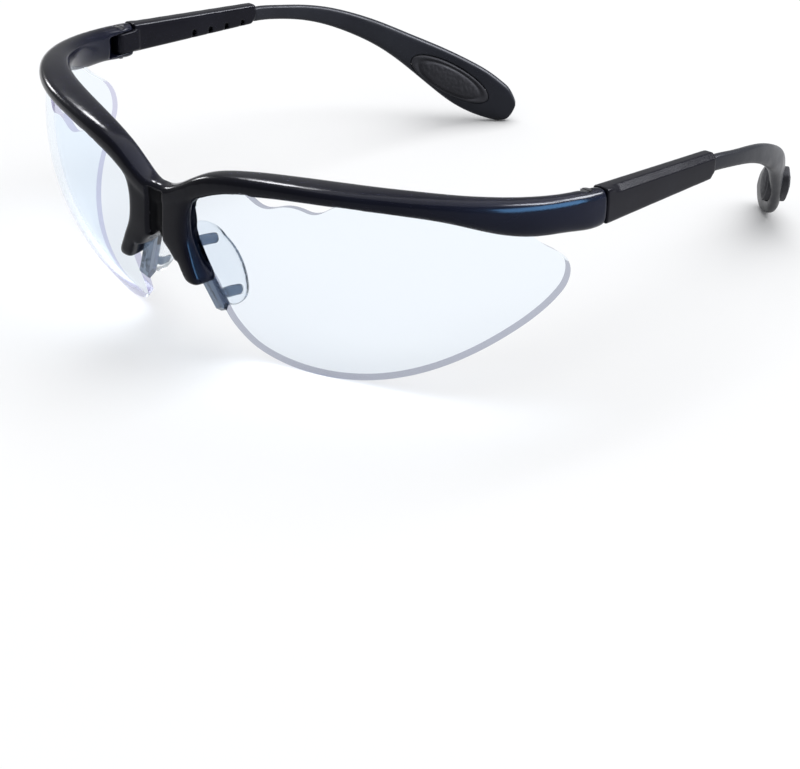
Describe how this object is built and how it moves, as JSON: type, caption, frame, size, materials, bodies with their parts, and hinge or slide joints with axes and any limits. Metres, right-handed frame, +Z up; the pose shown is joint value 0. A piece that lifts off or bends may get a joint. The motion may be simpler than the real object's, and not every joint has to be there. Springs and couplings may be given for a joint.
{
  "type": "sports protective goggles",
  "caption": "Half-frame sports safety goggles with clear wraparound lenses, vented brow bar, adjustable nose pads and hinged, length-adjusting temples.",
  "frame": {"origin": "middle of the bounding box at the level the goggles rest on, with the lens bottoms and both temple tips at Z = 0", "axes": "+X to the wearer's left, the goggles' mirror plane is X = 0; +Y from the lenses back along the temples; +Z up"},
  "size_m": [0.1444, 0.1554, 0.0452],
  "materials": {
    "frame_black": "moulded nylon, glossy black",
    "lens_clear": "clear hard-coated polycarbonate, faint blue",
    "holder_smoke": "translucent grey-blue plastic",
    "nose_pad_clear": "clear soft silicone",
    "screw_steel": "plain steel",
    "tip_rubber": "matte black rubber with fine grain"
  },
  "bodies": {
    "front": {"front_frame": "frame_black", "left_lens": "lens_clear", "left_pad_holder": "holder_smoke", "left_nose_pad": "nose_pad_clear", "left_hinge_screw": "screw_steel", "right_lens": "lens_clear", "right_pad_holder": "holder_smoke", "right_nose_pad": "nose_pad_clear", "right_hinge_screw": "screw_steel"},
    "left_sleeve": {"left_temple_sleeve": "frame_black"},
    "left_arm": {"left_temple_arm": "frame_black", "left_tip_pad": "tip_rubber"},
    "right_sleeve": {"right_temple_sleeve": "frame_black"},
    "right_arm": {"right_temple_arm": "frame_black", "right_tip_pad": "tip_rubber"}
  },
  "joints": [
    {"name": "left_temple_hinge", "type": "hinge", "parent": "front", "child": "left_sleeve", "pos_m": [0.0693, -0.0284, 0.0378], "axis": [0, 0, 1], "range_deg": [0, 84]},
    {"name": "left_length_slide", "type": "slide", "parent": "left_sleeve", "child": "left_arm", "axis": [-0.0352, 0.9979, -0.0541], "range_m": [0, 0.015]},
    {"name": "right_temple_hinge", "type": "hinge", "parent": "front", "child": "right_sleeve", "pos_m": [-0.0693, -0.0284, 0.0378], "axis": [0, 0, -1], "range_deg": [0, 76]},
    {"name": "right_length_slide", "type": "slide", "parent": "right_sleeve", "child": "right_arm", "axis": [0.0352, 0.9979, -0.0541], "range_m": [0, 0.015]}
  ]
}
